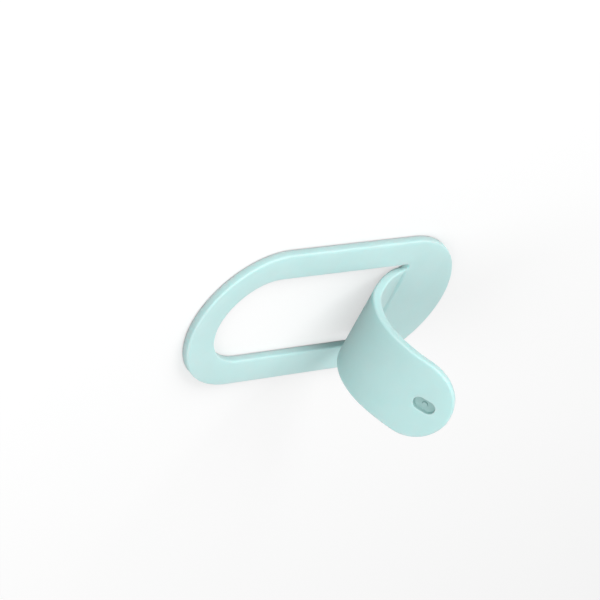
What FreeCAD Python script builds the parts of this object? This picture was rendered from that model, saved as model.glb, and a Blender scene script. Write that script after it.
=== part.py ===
"""Stick-on phone holder: a flat ring with a curled tongue in one moulding, and its adhesive pad.

Millimetres. The holder is stuck to the surface z = 0 and +Z points away from it. X runs along the
ring, with the tongue's root at the +X end, and the origin is under the middle of the ring.
"""
import FreeCAD, Part
import math
import os

import Sketcher
from FreeCAD import Vector

DRIVING_SIZES = {
    # Tongue: its width, and the four bends of its middle surface from the root to the tip
    "tongue_width": 20.0,
    "root_bend_radius": 5.5,
    "root_bend_angle": 18.5,
    "rise_radius": 35.0,
    "rise_angle": 17.0,
    "curl_radius": 16.0,
    "curl_angle": 66.0,
    "tip_bend_radius": 32.0,
    "tip_bend_angle": 33.0,
    "tip_flat": 0.4,
    # Ring: what surrounds the tongue when it lies flat in its window
    "slit_width": 2.1,
    "band_width": 7.2,
    "pad_length": 18.0,
    "moulding_thickness": 2.0,
    # Rounded edges of the moulding
    "front_edge_radius": 0.7,
    "tongue_edge_radius": 0.5,
    # Fold line across the tongue's root
    "fold_groove_radius": 0.5,
    "fold_groove_depth": 0.4,
    # Oval recess near the tip, with the mark left by the moulding gate
    "recess_length": 5.2,
    "recess_width": 3.2,
    "recess_depth": 1.0,
    "recess_from_tip": 6.4,
    "gate_diameter": 1.4,
    "gate_height": 0.4,
    # Adhesive pad behind the ring
    "tape_thickness": 0.2,
    "tape_inset": 0.8,
    "tape_corner_radius": 2.0,
}

DERIVED_SIZES = {
    "tip_bend_length": "=tip_bend_radius * tip_bend_angle * pi / 180",
    "tongue_length": "=(root_bend_radius * root_bend_angle + rise_radius * rise_angle"
                     " + curl_radius * curl_angle) * pi / 180 + tip_bend_length",
    "tip_corner_radius": "=(tongue_width - tip_flat) / 2",
    "slit_end_radius": "=slit_width / 2",
    "window_radius": "=tongue_width / 2 + slit_width",
    "ring_radius": "=window_radius + band_width",
    "ring_length": "=band_width + slit_width + tongue_length + slit_end_radius + pad_length",
    "end_centre": "=ring_length / 2 - ring_radius",
    "slit_end": "=ring_length / 2 - pad_length",
    "root_line": "=slit_end - slit_end_radius",
    "front_face": "=tape_thickness + moulding_thickness",
    "middle_height": "=tape_thickness + moulding_thickness / 2",
    "land_height": "=moulding_thickness / 2",
    "groove_line": "=slit_end - slit_end_radius / 2",
    "groove_centre": "=front_face + fold_groove_radius - fold_groove_depth",
    "groove_span": "=tongue_width + slit_width",
    "recess_place": "=recess_from_tip / tip_bend_length",
    "recess_end_radius": "=recess_width / 2",
    "recess_end_centre": "=(recess_length - recess_width) / 2",
    "gate_radius": "=gate_diameter / 2",
    "tape_ring_radius": "=ring_radius - tape_inset",
    "tape_window_radius": "=window_radius + tape_inset",
    "tape_window_end": "=slit_end + tape_inset",
}

SAME_PLACE = 1e-4
SHARP_ANGLE = math.radians(20)
QUARTER = math.pi / 2
ORIGIN = (-1, 1)
X_AXIS = -1
START, END, CENTRE = 1, 2, 3

doc = FreeCAD.newDocument("phone_holder")
sheet = doc.addObject("Spreadsheet::Sheet", "Sizes")
for row, (alias, content) in enumerate((DRIVING_SIZES | DERIVED_SIZES).items(), start=1):
    sheet.set(f"A{row}", alias)
    sheet.set(f"B{row}", str(content))
    sheet.setAlias(f"B{row}", alias)
doc.recompute()


def size(alias):
    return float(sheet.get(alias))


def add_sketch(body, name, plane_role):
    """A sketch on one of its body's own origin planes."""
    sketch = body.newObject("Sketcher::SketchObject", name)
    plane = next(item for item in body.Origin.OriginFeatures if item.Role == plane_role)
    sketch.AttachmentSupport = [(plane, "")]
    sketch.MapMode = "FlatFace"
    return sketch


def add_arc(sketch, x, y, radius, first_angle, last_angle, construction=False):
    """An arc that runs anticlockwise from the first angle to the last."""
    circle = Part.Circle(Vector(x, y, 0), Vector(0, 0, 1), radius)
    return sketch.addGeometry(Part.ArcOfCircle(circle, first_angle, last_angle), construction)


def add_line(sketch, x1, y1, x2, y2):
    return sketch.addGeometry(Part.LineSegment(Vector(x1, y1, 0), Vector(x2, y2, 0)))


def hold(sketch, kind, *places):
    sketch.addConstraint(Sketcher.Constraint(kind, *places))


def drive(sketch, alias, kind, *places):
    """A dimension of a sketch, tied to a cell of the sheet and named after it."""
    angle = kind == "Angle"
    value = math.radians(size(alias)) if angle else size(alias)
    index = sketch.addConstraint(Sketcher.Constraint(kind, *places, value))
    sketch.renameConstraint(index, alias)
    unit = "deg" if angle else "mm"
    sketch.setExpression(f"Constraints.{alias}", f"Sizes.{alias} * 1 {unit}")


def draw_racetrack(sketch, radius_alias, centre_alias):
    """Two round ends about the origin, joined by straight sides along X. Returns the left end."""
    radius = size(radius_alias)
    centre = size(centre_alias)
    right = add_arc(sketch, centre, 0, radius, -QUARTER, QUARTER)
    top = add_line(sketch, centre, radius, -centre, radius)
    left = add_arc(sketch, -centre, 0, radius, QUARTER, 3 * QUARTER)
    bottom = add_line(sketch, -centre, -radius, centre, -radius)
    chain = (right, top, left, bottom)
    for piece, following in zip(chain, chain[1:] + chain[:1]):
        hold(sketch, "Tangent", piece, END, following, START)
    hold(sketch, "Horizontal", top)
    hold(sketch, "PointOnObject", right, CENTRE, X_AXIS)
    hold(sketch, "Symmetric", right, CENTRE, left, CENTRE, *ORIGIN)
    drive(sketch, radius_alias, "Radius", right)
    drive(sketch, centre_alias, "DistanceX", *ORIGIN, right, CENTRE)
    return left


def extrude(body, kind, name, sketch, length_alias, side="One side", reverse=False):
    """A Pad or Pocket whose depth is tied to a cell of the sheet."""
    feature = body.newObject(f"PartDesign::{kind}", name)
    feature.Profile = sketch
    feature.SideType = side
    feature.Reversed = reverse
    feature.setExpression("Length", f"Sizes.{length_alias} * 1 mm")
    doc.recompute()
    return feature


def round_edges(body, name, edges, radius_alias):
    """A fillet along the given edges of the body as it stands."""
    base = body.Tip
    names = []
    for number, edge in enumerate(base.Shape.Edges, start=1):
        if any(edge.isSame(other) for other in edges):
            names.append(f"Edge{number}")
    fillet = body.newObject("PartDesign::Fillet", name)
    fillet.Base = (base, names)
    fillet.setExpression("Radius", f"Sizes.{radius_alias} * 1 mm")
    doc.recompute()
    return fillet


def flat_face_at(shape, height):
    """The largest level face at a height."""
    level = []
    for face in shape.Faces:
        box = face.BoundBox
        if abs(box.ZMin - height) < SAME_PLACE and abs(box.ZMax - height) < SAME_PLACE:
            level.append(face)
    return max(level, key=lambda face: face.Area)


def is_sharp(shape, edge):
    """True where the two faces beside an edge meet at an angle."""
    faces = shape.ancestorsOfType(edge, Part.Face)
    if len(faces) != 2:
        return False
    middle = edge.valueAt((edge.FirstParameter + edge.LastParameter) / 2)
    first, second = (face.normalAt(*face.Surface.parameter(middle)) for face in faces)
    return first.getAngle(second) > SHARP_ANGLE


# Silicone holder: the flat ring, open in the middle where the tongue has risen out of its window.
# The window ends in two slits, with the tongue's root between them
holder = doc.addObject("PartDesign::Body", "silicone_holder")
holder.Label = "silicone_holder"

ring_outline = add_sketch(holder, "ring_outline", "XY_Plane")
ring_outline.setExpression("AttachmentOffset.Base.z", "Sizes.tape_thickness * 1 mm")
ring_end = draw_racetrack(ring_outline, "ring_radius", "end_centre")
end_x = -size("end_centre")
root_x = size("root_line")
window = size("window_radius")
tongue_side = size("tongue_width") / 2
slit_radius = size("slit_end_radius")
slit_middle = tongue_side + slit_radius
window_end = add_arc(ring_outline, end_x, 0, window, QUARTER, 3 * QUARTER)
lower_side = add_line(ring_outline, end_x, -window, root_x, -window)
lower_slit = add_arc(ring_outline, root_x, -slit_middle, slit_radius, -QUARTER, QUARTER)
root = add_line(ring_outline, root_x, -tongue_side, root_x, tongue_side)
upper_slit = add_arc(ring_outline, root_x, slit_middle, slit_radius, -QUARTER, QUARTER)
upper_side = add_line(ring_outline, root_x, window, end_x, window)
hold(ring_outline, "Tangent", window_end, END, lower_side, START)
hold(ring_outline, "Tangent", lower_side, END, lower_slit, START)
hold(ring_outline, "Coincident", lower_slit, END, root, START)
hold(ring_outline, "Coincident", root, END, upper_slit, START)
hold(ring_outline, "Tangent", upper_slit, END, upper_side, START)
hold(ring_outline, "Tangent", upper_side, END, window_end, START)
hold(ring_outline, "Horizontal", lower_side)
hold(ring_outline, "Horizontal", upper_side)
hold(ring_outline, "Vertical", root)
hold(ring_outline, "Vertical", lower_slit, CENTRE, lower_slit, END)
hold(ring_outline, "Equal", lower_slit, upper_slit)
hold(ring_outline, "Coincident", window_end, CENTRE, ring_end, CENTRE)
drive(ring_outline, "window_radius", "Radius", window_end)
drive(ring_outline, "slit_end_radius", "Radius", lower_slit)
drive(ring_outline, "root_line", "DistanceX", *ORIGIN, root, START)
extrude(holder, "Pad", "ring", ring_outline, "moulding_thickness")

# Tongue: its side view is four bends, each taking over the last one's direction. The arcs of the
# front and rear faces share their centres with the middle surface's, whose radii are the sizes
tongue_profile = add_sketch(holder, "tongue_profile", "XZ_Plane")
half_thickness = size("moulding_thickness") / 2
start_x = root_x
start_z = size("middle_height")
heading = 0.0
middles, fronts, rears = [], [], []
for bend in ("root_bend", "rise", "curl", "tip_bend"):
    radius = size(f"{bend}_radius")
    turn = math.radians(size(f"{bend}_angle"))
    centre = (start_x + radius * math.sin(heading), start_z + radius * math.cos(heading))
    heading += turn
    far_angle = 3 * QUARTER - heading
    near_angle = far_angle + turn
    middles.append(add_arc(tongue_profile, *centre, radius, far_angle, near_angle, True))
    fronts.append(add_arc(tongue_profile, *centre, radius - half_thickness, far_angle, near_angle))
    rears.append(add_arc(tongue_profile, *centre, radius + half_thickness, far_angle, near_angle))
    hold(tongue_profile, "Coincident", middles[-1], CENTRE, fronts[-1], CENTRE)
    hold(tongue_profile, "Coincident", middles[-1], CENTRE, rears[-1], CENTRE)
    drive(tongue_profile, f"{bend}_radius", "Radius", middles[-1])
    drive(tongue_profile, f"{bend}_angle", "Angle", middles[-1])
    start_x = centre[0] - radius * math.sin(heading)
    start_z = centre[1] - radius * math.cos(heading)
for face in (middles, fronts, rears):
    for earlier, later in zip(face, face[1:]):
        hold(tongue_profile, "Tangent", earlier, START, later, END)
rear = size("tape_thickness")
front = size("front_face")
root_side = add_line(tongue_profile, root_x, rear, root_x, front)
across_x = half_thickness * math.sin(heading)
across_z = half_thickness * math.cos(heading)
tip_side = add_line(
    tongue_profile, start_x + across_x, start_z + across_z, start_x - across_x, start_z - across_z
)
hold(tongue_profile, "Coincident", root_side, START, rears[0], END)
hold(tongue_profile, "Coincident", root_side, END, fronts[0], END)
hold(tongue_profile, "Vertical", root_side)
hold(tongue_profile, "Symmetric", root_side, START, root_side, END, middles[0], END)
hold(tongue_profile, "Coincident", tip_side, START, fronts[-1], START)
hold(tongue_profile, "PointOnObject", middles[-1], START, tip_side)
hold(tongue_profile, "Perpendicular", tip_side, END, rears[-1], START)
hold(tongue_profile, "Vertical", middles[0], CENTRE, middles[0], END)
drive(tongue_profile, "root_line", "DistanceX", *ORIGIN, middles[0], END)
drive(tongue_profile, "middle_height", "DistanceY", *ORIGIN, middles[0], END)
drive(tongue_profile, "moulding_thickness", "DistanceY", root_side, START, root_side, END)
tongue = extrude(holder, "Pad", "tongue", tongue_profile, "tongue_width", side="Symmetric")

# Round tip: the two short edges at the far end of the strip
tip_end = Vector(start_x, 0, start_z)
tip_reach = tongue_side + size("moulding_thickness")
tip_edges = []
for edge in tongue.Shape.Edges:
    middle = edge.CenterOfMass
    at_side = abs(abs(middle.y) - tongue_side) < SAME_PLACE
    across = abs(edge.Length - size("moulding_thickness")) < SAME_PLACE
    if at_side and across and middle.distanceToPoint(tip_end) < tip_reach:
        tip_edges.append(edge)
round_edges(holder, "round_tip", tip_edges, "tip_corner_radius")

# Soft edges: the ring's front rim, then the window, the slits and the tongue on both faces. A land
# of half the thickness then squares the ring's back again, which lies flat on the tape
front_rim = flat_face_at(holder.Tip.Shape, front).OuterWire.Edges
round_edges(holder, "front_rim", front_rim, "front_edge_radius")
softened = holder.Tip.Shape
back_rim = flat_face_at(softened, rear).OuterWire.Edges
inner_edges = []
for edge in softened.Edges:
    on_back_rim = any(edge.isSame(other) for other in back_rim)
    if is_sharp(softened, edge) and not on_back_rim:
        inner_edges.append(edge)
round_edges(holder, "inner_edges", inner_edges, "tongue_edge_radius")
extrude(holder, "Pad", "back_land", ring_outline, "land_height")

# Fold line: a shallow round-bottomed groove that joins the ends of the two slits
groove_section = add_sketch(holder, "groove_section", "XZ_Plane")
groove_circle = Part.Circle(
    Vector(size("groove_line"), size("groove_centre"), 0), Vector(0, 0, 1), size("fold_groove_radius")
)
circle = groove_section.addGeometry(groove_circle)
drive(groove_section, "fold_groove_radius", "Radius", circle)
drive(groove_section, "groove_line", "DistanceX", *ORIGIN, circle, CENTRE)
drive(groove_section, "groove_centre", "DistanceY", *ORIGIN, circle, CENTRE)
extrude(holder, "Pocket", "fold_line", groove_section, "groove_span", side="Symmetric")

# Oval recess in the tongue's rear face. Its floor is a plane set in from the rear arc of the tip
# bend, which is the curved one of the two profile edges that end at the rear corner of the tip
rear_corner = Part.Vertex(Vector(start_x - across_x, 0, start_z - across_z))
for number, edge in enumerate(tongue_profile.Shape.Edges, start=1):
    curved = edge.Curve.TypeId == "Part::GeomCircle"
    if curved and edge.distToShape(rear_corner)[0] < SAME_PLACE:
        rear_tip_arc = f"Edge{number}"


def add_floor_sketch(name):
    """A sketch on the recess floor, X along the tongue and its normal out of the rear face."""
    sketch = holder.newObject("Sketcher::SketchObject", name)
    sketch.AttachmentSupport = [(tongue_profile, rear_tip_arc)]
    sketch.MapMode = "FrenetTB"
    sketch.setExpression("MapPathParameter", "Sizes.recess_place")
    sketch.setExpression("AttachmentOffset.Base.z", "-Sizes.recess_depth * 1 mm")
    return sketch


recess_outline = add_floor_sketch("recess_outline")
draw_racetrack(recess_outline, "recess_end_radius", "recess_end_centre")
extrude(holder, "Pocket", "recess", recess_outline, "moulding_thickness", reverse=True)

gate_outline = add_floor_sketch("gate_outline")
gate_circle = Part.Circle(Vector(0, 0, 0), Vector(0, 0, 1), size("gate_radius"))
gate = gate_outline.addGeometry(gate_circle)
hold(gate_outline, "Coincident", gate, CENTRE, *ORIGIN)
drive(gate_outline, "gate_radius", "Radius", gate)
extrude(holder, "Pad", "gate_mark", gate_outline, "gate_height")

# Adhesive pad: die-cut tape behind the ring and its solid end, set in from every edge
tape = doc.addObject("PartDesign::Body", "adhesive_pad")
tape.Label = "adhesive_pad"

tape_outline = add_sketch(tape, "tape_outline", "XY_Plane")
draw_racetrack(tape_outline, "tape_ring_radius", "end_centre")
extrude(tape, "Pad", "tape_sheet", tape_outline, "tape_thickness")

tape_window_outline = add_sketch(tape, "tape_window_outline", "XY_Plane")
tape_window = size("tape_window_radius")
tape_end = size("tape_window_end")
tape_round = add_arc(tape_window_outline, end_x, 0, tape_window, QUARTER, 3 * QUARTER)
tape_lower = add_line(tape_window_outline, end_x, -tape_window, tape_end, -tape_window)
tape_right = add_line(tape_window_outline, tape_end, -tape_window, tape_end, tape_window)
tape_upper = add_line(tape_window_outline, tape_end, tape_window, end_x, tape_window)
hold(tape_window_outline, "Tangent", tape_round, END, tape_lower, START)
hold(tape_window_outline, "Coincident", tape_lower, END, tape_right, START)
hold(tape_window_outline, "Coincident", tape_right, END, tape_upper, START)
hold(tape_window_outline, "Tangent", tape_upper, END, tape_round, START)
hold(tape_window_outline, "Horizontal", tape_lower)
hold(tape_window_outline, "Vertical", tape_right)
hold(tape_window_outline, "Horizontal", tape_upper)
hold(tape_window_outline, "PointOnObject", tape_round, CENTRE, X_AXIS)
drive(tape_window_outline, "tape_window_radius", "Radius", tape_round)
drive(tape_window_outline, "end_centre", "DistanceX", tape_round, CENTRE, *ORIGIN)
drive(tape_window_outline, "tape_window_end", "DistanceX", *ORIGIN, tape_right, START)
extrude(tape, "Pocket", "tape_window", tape_window_outline, "tape_thickness", reverse=True)

tape_corners = []
for edge in tape.Tip.Shape.Edges:
    middle = edge.CenterOfMass
    at_end = abs(middle.x - tape_end) < SAME_PLACE
    if at_end and abs(abs(middle.y) - tape_window) < SAME_PLACE:
        tape_corners.append(edge)
round_edges(tape, "tape_corners", tape_corners, "tape_corner_radius")

# Every object has to be sound before anything is written
doc.recompute()
for item in doc.Objects:
    if "Invalid" in item.State or "Error" in item.State:
        raise RuntimeError(f"{item.Label} failed: {item.State}")
for body in (holder, tape):
    if body.Shape.isNull() or not body.Shape.isValid() or len(body.Shape.Solids) != 1:
        raise RuntimeError(f"{body.Label} is not one sound solid")

os.makedirs("parts", exist_ok=True)
for body in (holder, tape):
    body.Shape.exportStep(f"parts/{body.Label}.step")
    print(f"{body.Label}: {len(body.Shape.Faces)} faces, {body.Shape.Volume:.1f} mm3")
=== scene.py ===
import math

import bmesh
import bpy
from mathutils import Matrix, Vector


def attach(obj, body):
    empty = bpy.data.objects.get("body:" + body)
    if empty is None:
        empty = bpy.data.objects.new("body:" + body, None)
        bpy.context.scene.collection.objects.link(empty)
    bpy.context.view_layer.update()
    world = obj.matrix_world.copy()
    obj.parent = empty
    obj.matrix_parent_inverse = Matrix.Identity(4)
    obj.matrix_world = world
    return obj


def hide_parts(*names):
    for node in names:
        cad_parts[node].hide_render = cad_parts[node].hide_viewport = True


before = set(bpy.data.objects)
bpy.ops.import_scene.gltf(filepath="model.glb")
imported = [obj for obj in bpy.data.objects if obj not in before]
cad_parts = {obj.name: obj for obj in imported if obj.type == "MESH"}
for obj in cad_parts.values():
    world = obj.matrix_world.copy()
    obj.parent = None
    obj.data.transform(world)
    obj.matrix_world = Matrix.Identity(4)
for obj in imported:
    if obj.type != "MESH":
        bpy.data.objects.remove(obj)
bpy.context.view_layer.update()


# Adhesive pad: a die-cut ring of clear double-sided tape, pressed onto the moulding's back and set in
# a little from its edges. Its lower face is tacky acrylic with tiny air dimples, laid on a thin film.
def new_finish(name, specular):
    """A finish with one Principled shader; returns the material, its tree and the shader."""
    material = bpy.data.materials.new(name)
    material.use_nodes = True
    shader = material.node_tree.nodes["Principled BSDF"]
    shader.inputs["Specular IOR Level"].default_value = specular
    return material, material.node_tree, shader


def add_noise(tree, scale, detail):
    """Soft noise over the piece's own coordinates, with scale in cells per metre."""
    place = tree.nodes.new("ShaderNodeTexCoord")
    noise = tree.nodes.new("ShaderNodeTexNoise")
    noise.inputs["Scale"].default_value = scale
    noise.inputs["Detail"].default_value = detail
    tree.links.new(place.outputs["Object"], noise.inputs["Vector"])
    return noise


def add_tones(tree, source, low_colour, high_colour, low=0.3, high=0.7):
    """Spreads a pattern over two tones of one colour; returns the colour."""
    tones = tree.nodes.new("ShaderNodeValToRGB")
    tones.color_ramp.elements[0].position = low
    tones.color_ramp.elements[0].color = (*low_colour, 1.0)
    tones.color_ramp.elements[1].position = high
    tones.color_ramp.elements[1].color = (*high_colour, 1.0)
    tree.links.new(source, tones.inputs["Fac"])
    return tones.outputs["Color"]


def add_sheen(tree, shader, source, low, high):
    """Lets a finish's roughness follow a pattern."""
    tree.links.new(add_tones(tree, source, (low,) * 3, (high,) * 3), shader.inputs["Roughness"])


def add_bump(tree, source, depth, strength, under=None):
    """Raises a pattern by a depth in metres, on top of a bump that lies under it."""
    bump = tree.nodes.new("ShaderNodeBump")
    bump.inputs["Distance"].default_value = depth
    bump.inputs["Strength"].default_value = strength
    tree.links.new(source, bump.inputs["Height"])
    if under is not None:
        tree.links.new(under, bump.inputs["Normal"])
    return bump.outputs["Normal"]


tape_finish, tape_tree, tape_shader = new_finish("clear_tape", 0.45)
tape_cloud = add_noise(tape_tree, 160.0, 3.0)
tape_colour = add_tones(tape_tree, tape_cloud.outputs["Fac"], (0.66, 0.67, 0.63), (0.76, 0.77, 0.74))
tape_tree.links.new(tape_colour, tape_shader.inputs["Base Color"])
tape_dimples = add_noise(tape_tree, 1400.0, 2.0)
tape_normal = add_bump(tape_tree, tape_dimples.outputs["Fac"], 0.00004, 0.5)
tape_tree.links.new(tape_normal, tape_shader.inputs["Normal"])
add_sheen(tape_tree, tape_shader, tape_cloud.outputs["Fac"], 0.26, 0.4)
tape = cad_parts["adhesive_pad"]
tape.data.materials.clear()
tape.data.materials.append(tape_finish)


# Silicone holder: one compression-moulded piece of soft matte silicone. It is drawn flat, as it comes
# out of the mould: a race-track ring, two slits, and a round-tipped tongue joined at the solid end.
# The tongue is then bent up out of its window. Sizes are in millimetres until the mesh is done.
MILLIMETRE = 0.001
tape_thickness = 0.2
thickness = 2.0
tongue_half = 10.0
slit_width = 2.1
band_width = 7.2
pad_length = 18.0
tip_flat_half = 0.2
# The tongue's bends from the root to the tip: the radius of each, and its angle in degrees
bends = ((5.5, 18.5), (35.0, 17.0), (16.0, 66.0), (32.0, 33.0))
tongue_length = sum(radius * math.radians(degrees) for radius, degrees in bends)
window_radius = tongue_half + slit_width
ring_radius = window_radius + band_width
ring_half = (band_width + slit_width * 1.5 + tongue_length + pad_length) / 2
end_centre = ring_half - ring_radius
slit_radius = slit_width / 2
root = ring_half - pad_length - slit_radius
tip = root - tongue_length
front = tape_thickness + thickness
middle = tape_thickness + thickness / 2
tolerance = 1e-4

# An oval recess near the tip, in what becomes the outside of the curl, holds the round mark of the
# mould's gate. Both are drawn on the blank with the rest, on one side of its middle line.
recess_from_tip = 6.4
recess_length = 5.2
recess_width = 3.2
recess_depth = 1.0
recess_draft = 0.06
recess_line = tip + recess_from_tip
recess_straight = (recess_length - recess_width) / 2
gate_radius = 0.7
gate_height = 0.4
gate_draft = 0.1
blank = bmesh.new()


def new_corner(x, y):
    """A corner of the flat blank."""
    return blank.verts.new((x, y, tape_thickness))


def draw_round(corner, centre_x, centre_y, degrees, steps):
    """Carries an outline round a centre; returns the corners that follow."""
    count = len(blank.verts)
    bmesh.ops.spin(
        blank, geom=[corner], cent=(centre_x, centre_y, tape_thickness), axis=(0, 0, 1),
        angle=math.radians(degrees), steps=steps,
    )
    blank.verts.ensure_lookup_table()
    return blank.verts[count:]


ring_end_steps = 32
window_end_steps = 28
tip_steps = 28
slit_end_steps = 16
gate_steps = 16
recess_end_steps = 8
ring = [new_corner(-ring_half, 0)]
ring += draw_round(ring[-1], -end_centre, 0, -90, ring_end_steps)
ring.append(new_corner(end_centre, ring_radius))
ring += draw_round(ring[-1], end_centre, 0, -90, ring_end_steps)
root_middle = new_corner(root, 0)
root_side = new_corner(root, tongue_half)
ring += [root_middle, root_side]
ring += draw_round(root_side, root, tongue_half + slit_radius, 180, slit_end_steps)
ring.append(new_corner(-end_centre, window_radius))
ring += draw_round(ring[-1], -end_centre, 0, 90, window_end_steps)
recess = [new_corner(recess_line + recess_length / 2, 0)]
recess += draw_round(recess[-1], recess_line + recess_straight, 0, 90, recess_end_steps)
recess.append(new_corner(recess_line - recess_straight, recess_width / 2))
recess += draw_round(recess[-1], recess_line - recess_straight, 0, 90, recess_end_steps)
gate_mark = [new_corner(recess_line + gate_radius, 0)]
gate_mark += draw_round(gate_mark[-1], recess_line, 0, 180, gate_steps)
tongue = [root_side, root_middle] + recess + [new_corner(tip, 0), new_corner(tip, tip_flat_half)]
tongue += draw_round(tongue[-1], tip + tongue_half - tip_flat_half, tip_flat_half, -90, tip_steps)
for outline in (ring, tongue, recess + gate_mark[::-1], gate_mark):
    blank.faces.new(outline)
bmesh.ops.mirror(
    blank, geom=blank.verts[:] + blank.edges[:] + blank.faces[:], matrix=Matrix.Identity(4),
    merge_dist=10 * tolerance, axis="Y",
)
raised = bmesh.ops.extrude_face_region(blank, geom=blank.faces[:], use_keep_orig=True)
raised_corners = [item for item in raised["geom"] if isinstance(item, bmesh.types.BMVert)]
bmesh.ops.translate(blank, verts=raised_corners, vec=(0, 0, thickness))
bmesh.ops.recalc_face_normals(blank, faces=blank.faces[:])


def from_spine(point):
    """How far a point of the flat blank is from the line between the ring's two centres."""
    return math.hypot(max(abs(point.x) - end_centre, 0), point.y)


def on_tongue(point):
    """True within the tongue's flat outline, up to the middle of the slit around it."""
    reach = math.hypot(min(point.x - tip - tongue_half, 0), point.y)
    return point.x < root + tolerance and reach < tongue_half + slit_radius / 2


def from_recess(point):
    """How far a point of the flat blank is from the recess's middle, seen from above."""
    return math.hypot(point.x - recess_line, point.y)


def middle_of(edge):
    """The point halfway along an edge."""
    return (edge.verts[0].co + edge.verts[1].co) / 2


def is_level(face):
    """True where a face of the blank lies flat."""
    return abs(face.normal.z) > 0.99


def is_upper(face):
    """True where a face of the blank lies flat and faces the front."""
    return face.normal.z > 0.99


def square_edges(height):
    """The blank's edges at one height that turn by more than 60 degrees."""
    found = []
    for edge in blank.edges:
        level = all(abs(vert.co.z - height) < tolerance for vert in edge.verts)
        if level and edge.calc_face_angle(0) > math.radians(60):
            found.append(edge)
    return found


def round_over(edges, radius, segments):
    """Rounds edges of the blank."""
    bmesh.ops.bevel(
        blank, geom=edges, offset=radius, offset_type="OFFSET", affect="EDGES", segments=segments,
        profile=0.5, material=-1, clamp_overlap=False,
    )


def inset(faces, width, depth):
    """Draws faces of the blank in from their outline, and raises or sinks them."""
    bmesh.ops.inset_region(blank, faces=faces, thickness=width, depth=depth, use_even_offset=True)


def flat_faces(height, reach):
    """The blank's level faces at one height whose centres are within reach of the recess's middle."""
    goal = Vector((recess_line, 0, height))
    found = []
    for face in blank.faces:
        if is_level(face) and (face.calc_center_median() - goal).length < reach:
            found.append(face)
    return found


upper_faces = [face for face in blank.faces if is_upper(face)]
tongue_front = [face for face in upper_faces if on_tongue(face.calc_center_median())]
bmesh.ops.dissolve_faces(blank, faces=tongue_front)
recess_reach = 2.0
recess_floor = flat_faces(tape_thickness, recess_reach)
inset(recess_floor, recess_draft, -recess_depth)
gate_reach = 0.5
gate_faces = flat_faces(tape_thickness + recess_depth, gate_reach)
inset(gate_faces, gate_draft, gate_height)
recess_mouth = tape_thickness + 0.05
recess_deepest = front - 0.5
# Faces inside the recess, and the gate mark in it, take the second finish, whose darker tone is painted
# shade.
recess_shade_index = 1
for face in blank.faces:
    place = face.calc_center_median()
    if recess_mouth < place.z < recess_deepest and from_recess(place) < recess_length / 2:
        face.material_index = recess_shade_index

# The mould rounds the front of the ring and every edge of the tongue. The ring's back stays square.
outer_rim_radius = 0.45
front_edge_radius = 0.4
tongue_back_radius = 0.5
recess_rim_radius = 0.15
edge_steps = 5
recess_rim_steps = 3
recess_surround = 3.0
rim_middle = window_radius + band_width / 2
outer_rim = [edge for edge in square_edges(front) if from_spine(middle_of(edge)) > rim_middle]
round_over(outer_rim, outer_rim_radius, edge_steps)
round_over(square_edges(front), front_edge_radius, edge_steps)
recess_rim = []
tongue_back = []
for edge in square_edges(tape_thickness):
    place = middle_of(edge)
    if from_recess(place) < recess_surround:
        recess_rim.append(edge)
    elif on_tongue(place):
        tongue_back.append(edge)
round_over(tongue_back, tongue_back_radius, edge_steps)
round_over(recess_rim, recess_rim_radius, recess_rim_steps)


def place_order(point):
    """One number that sorts points by x, then y, then z, to a thousandth of a millimetre."""
    return round(point.x * 1000) * 1e9 + round(point.y * 1000) * 1e4 + round(point.z * 1000)


# Rounding leaves corners, edges and faces in a new order on each run, so they are sorted by place.
blank.verts.sort(key=lambda vert: place_order(vert.co))
blank.edges.sort(key=lambda edge: place_order(middle_of(edge)))
blank.faces.sort(key=lambda face: place_order(face.calc_center_median()))


# The front is crowned by about a tenth of a millimetre: it falls away a little towards every edge.
def from_edge(point):
    """How far a point of the flat front is from the nearest edge of the ring or the tongue."""
    outer = ring_radius - from_spine(point)
    if point.x > root:
        inner = math.hypot(point.x - root, abs(point.y) - tongue_half - slit_radius) - slit_radius
    elif on_tongue(point):
        inner = tongue_half - math.hypot(min(point.x - tip - tongue_half, 0), point.y)
    else:
        inner = math.hypot(min(point.x + end_centre, 0), point.y) - window_radius
    return max(min(outer, inner), 0)


crown_height = 0.12
crown_reach = 3.2
crown_loops = 3
crown_loop_width = 0.9
upper_faces = [face for face in blank.faces if is_upper(face)]
crown_faces = [face for face in upper_faces if face.calc_center_median().z > middle]
for loop in range(crown_loops):
    inset(crown_faces, crown_loop_width, 0)
above_recess = middle + 0.1
for vert in blank.verts:
    if vert.co.z > above_recess:
        fall = 1 - min(from_edge(vert.co) / crown_reach, 1)
        vert.co.z -= crown_height * fall ** 2


def crosses(face, line):
    """True where a face of the blank has corners on both sides of a line across it."""
    spread = [vert.co.x for vert in face.verts]
    return min(spread) < line - tolerance and max(spread) > line + tolerance


def cut_across(faces, place, normal):
    """Cuts some faces of the blank along a plane; returns those faces and the new ones."""
    parts = dict.fromkeys(faces)
    for face in faces:
        parts.update(dict.fromkeys(face.edges))
        parts.update(dict.fromkeys(face.verts))
    cut = bmesh.ops.bisect_plane(
        blank, geom=list(parts), dist=tolerance / 10, plane_co=place, plane_no=normal
    )
    return [item for item in cut["geom"] if isinstance(item, bmesh.types.BMFace)]


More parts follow.
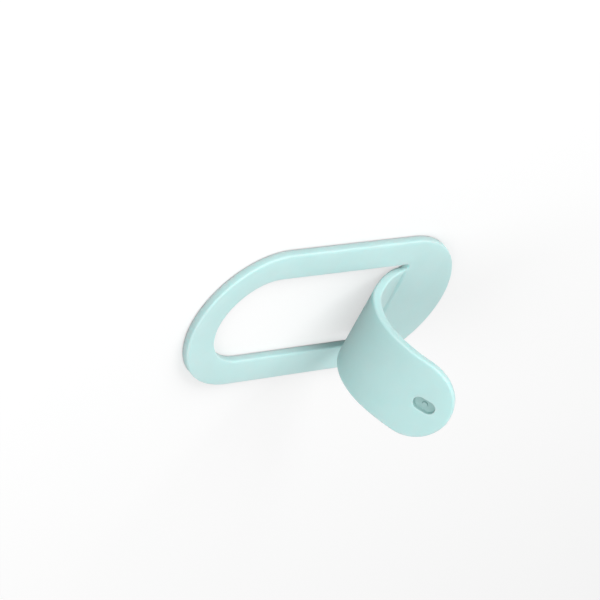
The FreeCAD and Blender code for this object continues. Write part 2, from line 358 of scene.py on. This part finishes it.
# A shallow crease across the front, between the ends of the slits, where the tongue folds. It is
# gentle towards the ring and fades out at the slits.
crease_line = root + slit_radius / 2
crease_depth = 0.42
crease_on_tongue = 0.75
crease_on_ring = 1.0
crease_fade = 2.0
crease_end = tongue_half + slit_radius
crease_low = crease_line - crease_on_tongue
crease_high = crease_line + crease_on_ring
crease = []
for face in blank.faces:
    spread = [vert.co.x for vert in face.verts]
    if is_upper(face) and min(spread) < crease_high and max(spread) > crease_low:
        crease.append(face)
crease = cut_across(crease, (crease_low, 0, 0), (1, 0, 0))
crease = [face for face in crease if face.calc_center_median().x > crease_low]
crease = cut_across(crease, (crease_high, 0, 0), (1, 0, 0))
crease = [face for face in crease if face.calc_center_median().x < crease_high]
for side in (-1, 1):
    crease = cut_across(crease, (0, side * crease_end, 0), (0, 1, 0))
crease_cuts = [crease_line - share * crease_on_tongue for share in (0.85, 0.5, 0.25)]
crease_cuts += [crease_line + share * crease_on_ring for share in (0, 0.15, 0.3, 0.45, 0.6, 0.75, 0.9)]
near_front = middle + 0.4
for line in crease_cuts:
    crossed = []
    for face in blank.faces:
        centre = face.calc_center_median()
        if crosses(face, line) and abs(centre.y) < crease_end and centre.z > near_front:
            crossed.append(face)
    cut_across(crossed, (line, 0, 0), (1, 0, 0))
for vert in blank.verts:
    offset = vert.co.x - crease_line
    reach = abs(offset) / (crease_on_ring if offset > 0 else crease_on_tongue)
    inside = crease_end - abs(vert.co.y)
    if reach < 1 and inside > 10 * tolerance and vert.co.z > middle:
        fade = min(inside / crease_fade, 1)
        vert.co.z -= crease_depth * fade * (1 + math.cos(math.pi * reach)) / 2

# The tongue is cut across into rows about half a millimetre apart, and bent a little at each row, from
# the tip back to the root: a short kink at the root, a long gentle rise, a tight curl and a looser tip.
row_spacing = 0.55
row_turns = {}
start = 0.0
for radius, degrees in bends:
    turn = math.radians(degrees)
    steps = math.ceil(radius * turn / row_spacing)
    for step in range(steps + 1):
        along = round(start + radius * turn * step / steps, 6)
        share = 0.5 if step in (0, steps) else 1.0
        row_turns[along] = row_turns.get(along, 0.0) + share * turn / steps
    start += radius * turn
for along in row_turns:
    line = root - along
    crossed = [face for face in blank.faces if crosses(face, line) and on_tongue(face.calc_center_median())]
    if crossed:
        cut_across(crossed, (line, 0, 0), (1, 0, 0))
weld_distance = 0.02
bmesh.ops.remove_doubles(blank, verts=blank.verts[:], dist=weld_distance)
alongs = {vert: root - vert.co.x for vert in blank.verts if on_tongue(vert.co)}

# The strip is a little thicker on the inside of the curl, most of all halfway along the swell.
swell = 0.35
swell_length = 42.0
for vert, along in alongs.items():
    share = math.sin(math.pi * min(max(along / swell_length, 0), 1)) ** 2
    vert.co.z += swell * share * max(vert.co.z - middle, 0) / (front - middle)
for row, turn in sorted(row_turns.items(), reverse=True):
    bend = Matrix.Rotation(turn / 2, 3, "Y")
    place = (root - row, 0, middle)
    at_or_past = [vert for vert, along in alongs.items() if along > max(row - tolerance, tolerance)]
    past = [vert for vert, along in alongs.items() if along > row + tolerance]
    bmesh.ops.rotate(blank, verts=at_or_past, cent=place, matrix=bend)
    bmesh.ops.rotate(blank, verts=past, cent=place, matrix=bend)

bmesh.ops.scale(blank, verts=blank.verts[:], vec=(MILLIMETRE,) * 3)
for face in blank.faces:
    face.smooth = True
holder_mesh = bpy.data.meshes.new("silicone_moulding")
blank.to_mesh(holder_mesh)
blank.free()
sharp_angle = math.radians(50)
holder_mesh.set_sharp_from_angle(angle=sharp_angle)
holder = bpy.data.objects.new("silicone_moulding", holder_mesh)
bpy.context.scene.collection.objects.link(holder)
even_shading = holder.modifiers.new("even_shading", "WEIGHTED_NORMAL")
even_shading.keep_sharp = True

silicone_finish, silicone_tree, silicone_shader = new_finish("mint_silicone", 0.35)
silicone_cloud = add_noise(silicone_tree, 120.0, 4.0)
silicone_colour = add_tones(
    silicone_tree, silicone_cloud.outputs["Fac"], (0.548, 0.782, 0.772), (0.574, 0.806, 0.798)
)
silicone_tree.links.new(silicone_colour, silicone_shader.inputs["Base Color"])
silicone_waves = add_noise(silicone_tree, 90.0, 2.0)
silicone_grain = add_noise(silicone_tree, 5200.0, 2.0)
wave_normal = add_bump(silicone_tree, silicone_waves.outputs["Fac"], 0.0002, 0.25)
grain_normal = add_bump(silicone_tree, silicone_grain.outputs["Fac"], 0.00001, 0.4, wave_normal)
silicone_tree.links.new(grain_normal, silicone_shader.inputs["Normal"])
add_sheen(silicone_tree, silicone_shader, silicone_waves.outputs["Fac"], 0.46, 0.58)
silicone_shader.inputs["Subsurface Weight"].default_value = 0.8
silicone_shader.inputs["Subsurface Radius"].default_value = (1.0, 1.8, 1.75)
silicone_shader.inputs["Subsurface Scale"].default_value = MILLIMETRE
holder_mesh.materials.append(silicone_finish)

# The recess gets a darker tone of the same silicone. This is painted shade, standing for the shade that
# falls inside it. Its finish is also rougher and grainier.
recess_shade_finish, recess_shade_tree, recess_shade_shader = new_finish("silicone_painted_recess_shade", 0.25)
recess_cloud = add_noise(recess_shade_tree, 900.0, 3.0)
recess_painted_shade = add_tones(recess_shade_tree, recess_cloud.outputs["Fac"], (0.34, 0.54, 0.525), (0.41, 0.61, 0.595))
recess_shade_tree.links.new(recess_painted_shade, recess_shade_shader.inputs["Base Color"])
add_sheen(recess_shade_tree, recess_shade_shader, recess_cloud.outputs["Fac"], 0.64, 0.76)
recess_grain = add_noise(recess_shade_tree, 5200.0, 2.0)
recess_normal = add_bump(recess_shade_tree, recess_grain.outputs["Fac"], 0.00003, 0.5)
recess_shade_tree.links.new(recess_normal, recess_shade_shader.inputs["Normal"])
holder_mesh.materials.append(recess_shade_finish)
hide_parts("silicone_holder")
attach(holder, "root")


# Stage: a plain pale floor under the holder. It shows as white to the camera and in gloss, with the
# holder's shadow on it, and throws back less light than that.
stage_mesh = bpy.data.meshes.new("floor")
stage_plane = bmesh.new()
floor_half = 4.0
bmesh.ops.create_grid(stage_plane, x_segments=1, y_segments=1, size=floor_half)
stage_plane.to_mesh(stage_mesh)
stage_plane.free()
floor = bpy.data.objects.new("floor", stage_mesh)
bpy.context.scene.collection.objects.link(floor)


def add_seen(tree):
    """1 for what the camera, gloss or glass sees, and 0 for scattered light."""
    path = tree.nodes.new("ShaderNodeLightPath")
    either = tree.nodes.new("ShaderNodeMath")
    either.operation = "MAXIMUM"
    tree.links.new(path.outputs["Is Camera Ray"], either.inputs[0])
    tree.links.new(path.outputs["Is Glossy Ray"], either.inputs[1])
    seen = tree.nodes.new("ShaderNodeMath")
    seen.operation = "MAXIMUM"
    tree.links.new(either.outputs[0], seen.inputs[0])
    tree.links.new(path.outputs["Is Transmission Ray"], seen.inputs[1])
    return seen.outputs[0]


floor_finish, floor_tree, floor_shader = new_finish("pale_floor", 0.0)
floor_shader.inputs["Roughness"].default_value = 0.9
floor_seen = add_seen(floor_tree)
floor_colour = add_tones(floor_tree, floor_seen, (0.2, 0.2, 0.2), (0.5, 0.5, 0.5), 0.0, 1.0)
floor_glow = add_tones(floor_tree, floor_seen, (0.0, 0.0, 0.0), (0.5, 0.5, 0.5), 0.0, 1.0)
floor_tree.links.new(floor_colour, floor_shader.inputs["Base Color"])
floor_tree.links.new(floor_glow, floor_shader.inputs["Emission Color"])
floor_shader.inputs["Emission Strength"].default_value = 1.0
stage_mesh.materials.append(floor_finish)


# Studio light: a broad soft lamp above the picture's top edge, a weaker one from the ring's open end,
# and an even sky.
def add_lamp(name, place, width, power):
    """A round soft lamp that faces the holder."""
    lamp_data = bpy.data.lights.new(name, "AREA")
    lamp_data.shape = "DISK"
    lamp_data.size = width
    lamp_data.energy = power
    lamp = bpy.data.objects.new(name, lamp_data)
    lamp.location = place
    lamp.rotation_euler = (holder_middle - lamp.location).to_track_quat("-Z", "Y").to_euler()
    bpy.context.scene.collection.objects.link(lamp)


holder_middle = Vector((0, 0, 0.01))
lamp_width = 0.5
add_lamp("key_lamp", (0.05, 0.6, 0.3), lamp_width, 2.85)
add_lamp("fill_lamp", (-0.71, 0.04, 0.35), lamp_width, 2.55)

sky = bpy.data.worlds.new("sky")
sky.use_nodes = True
bpy.context.scene.world = sky
sky_shader = sky.node_tree.nodes["Background"]
sky_seen = add_seen(sky.node_tree)
sky_level = add_tones(sky.node_tree, sky_seen, (0.57, 0.57, 0.57), (1.0, 1.0, 1.0), 0.0, 1.0)
sky.node_tree.links.new(sky_level, sky_shader.inputs["Color"])


# Camera: a long lens three quarters of a metre away, above the ring's open end and the long side that is
# at the top of the picture. It is rolled so that the ring runs up a little to the right.
camera_data = bpy.data.cameras.new("camera")
camera_data.sensor_width = 36.0
camera_data.lens = 200.207
camera = bpy.data.objects.new("camera", camera_data)
right = Vector((0.72314, 0.407522, 0.557668))
up = Vector((0.092456, 0.743016, -0.662857))
back = Vector((-0.684485, 0.530898, 0.499627))
turned = Matrix((right, up, back)).transposed().to_4x4()
camera.matrix_world = Matrix.Translation((-0.517965, 0.398976, 0.372727)) @ turned
bpy.context.scene.collection.objects.link(camera)
bpy.context.scene.camera = camera
bpy.context.scene.view_settings.view_transform = "Standard"
